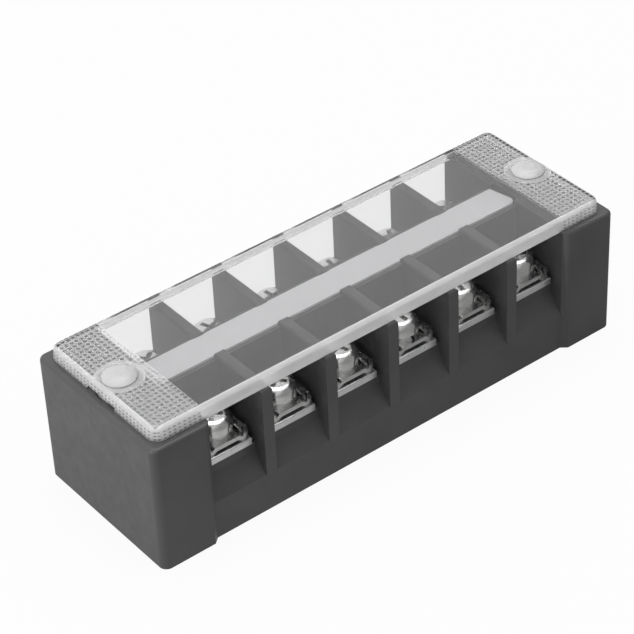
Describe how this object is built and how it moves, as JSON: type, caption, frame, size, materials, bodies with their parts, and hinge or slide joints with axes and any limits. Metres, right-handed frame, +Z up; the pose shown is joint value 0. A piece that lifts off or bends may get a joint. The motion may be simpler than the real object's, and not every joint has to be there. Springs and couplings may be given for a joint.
{
  "type": "barrier terminal strip",
  "caption": "Black barrier terminal strip with two rows of captive screw clamps, a white marker strip and a clear lift-off cover with textured ends.",
  "frame": {"origin": "middle of the base's underside, which is also the middle of the whole part seen from above", "axes": "+X along the strip, +Y across it from the front terminals to the rear ones, +Z up to the cover"},
  "size_m": [0.105, 0.035, 0.0303],
  "materials": {
    "base_moulding": "satin black phenolic moulding",
    "marker_white": "matte white strip",
    "clear_cover": "clear moulding with frosted lip and knurled ends",
    "pin_plastic": "translucent natural plastic",
    "plated_bar": "tin plated bar",
    "plated_plate": "bright plated sheet",
    "spring_steel": "plated spring steel",
    "plated_screw": "bright nickel plate"
  },
  "bodies": {
    "housing": {"base": "base_moulding", "marker_strip": "marker_white", "terminal_bar_1": "plated_bar", "terminal_bar_2": "plated_bar", "terminal_bar_3": "plated_bar", "terminal_bar_4": "plated_bar", "terminal_bar_5": "plated_bar", "terminal_bar_6": "plated_bar"},
    "cover": {"cover": "clear_cover"},
    "pin_left": {"cover_pin_left": "pin_plastic"},
    "pin_right": {"cover_pin_right": "pin_plastic"},
    "clamp_front_1": {"pressure_plate_front_1": "plated_plate", "spring_washer_front_1": "spring_steel"},
    "screw_front_1": {"screw_front_1": "plated_screw"},
    "clamp_rear_1": {"pressure_plate_rear_1": "plated_plate", "spring_washer_rear_1": "spring_steel"},
    "screw_rear_1": {"screw_rear_1": "plated_screw"},
    "clamp_front_2": {"pressure_plate_front_2": "plated_plate", "spring_washer_front_2": "spring_steel"},
    "screw_front_2": {"screw_front_2": "plated_screw"},
    "clamp_rear_2": {"pressure_plate_rear_2": "plated_plate", "spring_washer_rear_2": "spring_steel"},
    "screw_rear_2": {"screw_rear_2": "plated_screw"},
    "clamp_front_3": {"pressure_plate_front_3": "plated_plate", "spring_washer_front_3": "spring_steel"},
    "screw_front_3": {"screw_front_3": "plated_screw"},
    "clamp_rear_3": {"pressure_plate_rear_3": "plated_plate", "spring_washer_rear_3": "spring_steel"},
    "screw_rear_3": {"screw_rear_3": "plated_screw"},
    "clamp_front_4": {"pressure_plate_front_4": "plated_plate", "spring_washer_front_4": "spring_steel"},
    "screw_front_4": {"screw_front_4": "plated_screw"},
    "clamp_rear_4": {"pressure_plate_rear_4": "plated_plate", "spring_washer_rear_4": "spring_steel"},
    "screw_rear_4": {"screw_rear_4": "plated_screw"},
    "clamp_front_5": {"pressure_plate_front_5": "plated_plate", "spring_washer_front_5": "spring_steel"},
    "screw_front_5": {"screw_front_5": "plated_screw"},
    "clamp_rear_5": {"pressure_plate_rear_5": "plated_plate", "spring_washer_rear_5": "spring_steel"},
    "screw_rear_5": {"screw_rear_5": "plated_screw"},
    "clamp_front_6": {"pressure_plate_front_6": "plated_plate", "spring_washer_front_6": "spring_steel"},
    "screw_front_6": {"screw_front_6": "plated_screw"},
    "clamp_rear_6": {"pressure_plate_rear_6": "plated_plate", "spring_washer_rear_6": "spring_steel"},
    "screw_rear_6": {"screw_rear_6": "plated_screw"}
  },
  "joints": [
    {"name": "cover_lift", "type": "slide", "parent": "housing", "child": "cover", "axis": [0, 0, 1], "range_m": [0, 0.04]},
    {"name": "pin_left_pull", "type": "slide", "parent": "cover", "child": "pin_left", "axis": [0, 0, 1], "range_m": [0, 0.012]},
    {"name": "pin_right_pull", "type": "slide", "parent": "cover", "child": "pin_right", "axis": [0, 0, 1], "range_m": [0, 0.012]},
    {"name": "clamp_lift_front_1", "type": "slide", "parent": "housing", "child": "clamp_front_1", "axis": [0, 0, 1], "range_m": [0, 0.0021]},
    {"name": "screw_turn_front_1", "type": "hinge", "parent": "clamp_front_1", "child": "screw_front_1", "pos_m": [-0.035, -0.0095, 0.018], "axis": [0, 0, 1], "range_deg": [0, 1100]},
    {"name": "clamp_lift_rear_1", "type": "slide", "parent": "housing", "child": "clamp_rear_1", "axis": [0, 0, 1], "range_m": [0, 0.0021]},
    {"name": "screw_turn_rear_1", "type": "hinge", "parent": "clamp_rear_1", "child": "screw_rear_1", "pos_m": [-0.035, 0.0095, 0.018], "axis": [0, 0, 1], "range_deg": [0, 1100]},
    {"name": "clamp_lift_front_2", "type": "slide", "parent": "housing", "child": "clamp_front_2", "axis": [0, 0, 1], "range_m": [0, 0.0021]},
    {"name": "screw_turn_front_2", "type": "hinge", "parent": "clamp_front_2", "child": "screw_front_2", "pos_m": [-0.021, -0.0095, 0.018], "axis": [0, 0, 1], "range_deg": [0, 1100]},
    {"name": "clamp_lift_rear_2", "type": "slide", "parent": "housing", "child": "clamp_rear_2", "axis": [0, 0, 1], "range_m": [0, 0.0021]},
    {"name": "screw_turn_rear_2", "type": "hinge", "parent": "clamp_rear_2", "child": "screw_rear_2", "pos_m": [-0.021, 0.0095, 0.018], "axis": [0, 0, 1], "range_deg": [0, 1100]},
    {"name": "clamp_lift_front_3", "type": "slide", "parent": "housing", "child": "clamp_front_3", "axis": [0, 0, 1], "range_m": [0, 0.0021]},
    {"name": "screw_turn_front_3", "type": "hinge", "parent": "clamp_front_3", "child": "screw_front_3", "pos_m": [-0.007, -0.0095, 0.018], "axis": [0, 0, 1], "range_deg": [0, 1100]},
    {"name": "clamp_lift_rear_3", "type": "slide", "parent": "housing", "child": "clamp_rear_3", "axis": [0, 0, 1], "range_m": [0, 0.0021]},
    {"name": "screw_turn_rear_3", "type": "hinge", "parent": "clamp_rear_3", "child": "screw_rear_3", "pos_m": [-0.007, 0.0095, 0.018], "axis": [0, 0, 1], "range_deg": [0, 1100]},
    {"name": "clamp_lift_front_4", "type": "slide", "parent": "housing", "child": "clamp_front_4", "axis": [0, 0, 1], "range_m": [0, 0.0021]},
    {"name": "screw_turn_front_4", "type": "hinge", "parent": "clamp_front_4", "child": "screw_front_4", "pos_m": [0.007, -0.0095, 0.018], "axis": [0, 0, 1], "range_deg": [0, 1100]},
    {"name": "clamp_lift_rear_4", "type": "slide", "parent": "housing", "child": "clamp_rear_4", "axis": [0, 0, 1], "range_m": [0, 0.0021]},
    {"name": "screw_turn_rear_4", "type": "hinge", "parent": "clamp_rear_4", "child": "screw_rear_4", "pos_m": [0.007, 0.0095, 0.018], "axis": [0, 0, 1], "range_deg": [0, 1100]},
    {"name": "clamp_lift_front_5", "type": "slide", "parent": "housing", "child": "clamp_front_5", "axis": [0, 0, 1], "range_m": [0, 0.0021]},
    {"name": "screw_turn_front_5", "type": "hinge", "parent": "clamp_front_5", "child": "screw_front_5", "pos_m": [0.021, -0.0095, 0.018], "axis": [0, 0, 1], "range_deg": [0, 1100]},
    {"name": "clamp_lift_rear_5", "type": "slide", "parent": "housing", "child": "clamp_rear_5", "axis": [0, 0, 1], "range_m": [0, 0.0021]},
    {"name": "screw_turn_rear_5", "type": "hinge", "parent": "clamp_rear_5", "child": "screw_rear_5", "pos_m": [0.021, 0.0095, 0.018], "axis": [0, 0, 1], "range_deg": [0, 1100]},
    {"name": "clamp_lift_front_6", "type": "slide", "parent": "housing", "child": "clamp_front_6", "axis": [0, 0, 1], "range_m": [0, 0.0021]},
    {"name": "screw_turn_front_6", "type": "hinge", "parent": "clamp_front_6", "child": "screw_front_6", "pos_m": [0.035, -0.0095, 0.018], "axis": [0, 0, 1], "range_deg": [0, 1100]},
    {"name": "clamp_lift_rear_6", "type": "slide", "parent": "housing", "child": "clamp_rear_6", "axis": [0, 0, 1], "range_m": [0, 0.0021]},
    {"name": "screw_turn_rear_6", "type": "hinge", "parent": "clamp_rear_6", "child": "screw_rear_6", "pos_m": [0.035, 0.0095, 0.018], "axis": [0, 0, 1], "range_deg": [0, 1100]}
  ],
  "couplings": [
    {"joint": "screw_turn_front_1", "follows": "clamp_lift_front_1", "rad_per_m": 8976},
    {"joint": "screw_turn_rear_1", "follows": "clamp_lift_rear_1", "rad_per_m": 8976},
    {"joint": "screw_turn_front_2", "follows": "clamp_lift_front_2", "rad_per_m": 8976},
    {"joint": "screw_turn_rear_2", "follows": "clamp_lift_rear_2", "rad_per_m": 8976},
    {"joint": "screw_turn_front_3", "follows": "clamp_lift_front_3", "rad_per_m": 8976},
    {"joint": "screw_turn_rear_3", "follows": "clamp_lift_rear_3", "rad_per_m": 8976},
    {"joint": "screw_turn_front_4", "follows": "clamp_lift_front_4", "rad_per_m": 8976},
    {"joint": "screw_turn_rear_4", "follows": "clamp_lift_rear_4", "rad_per_m": 8976},
    {"joint": "screw_turn_front_5", "follows": "clamp_lift_front_5", "rad_per_m": 8976},
    {"joint": "screw_turn_rear_5", "follows": "clamp_lift_rear_5", "rad_per_m": 8976},
    {"joint": "screw_turn_front_6", "follows": "clamp_lift_front_6", "rad_per_m": 8976},
    {"joint": "screw_turn_rear_6", "follows": "clamp_lift_rear_6", "rad_per_m": 8976}
  ]
}
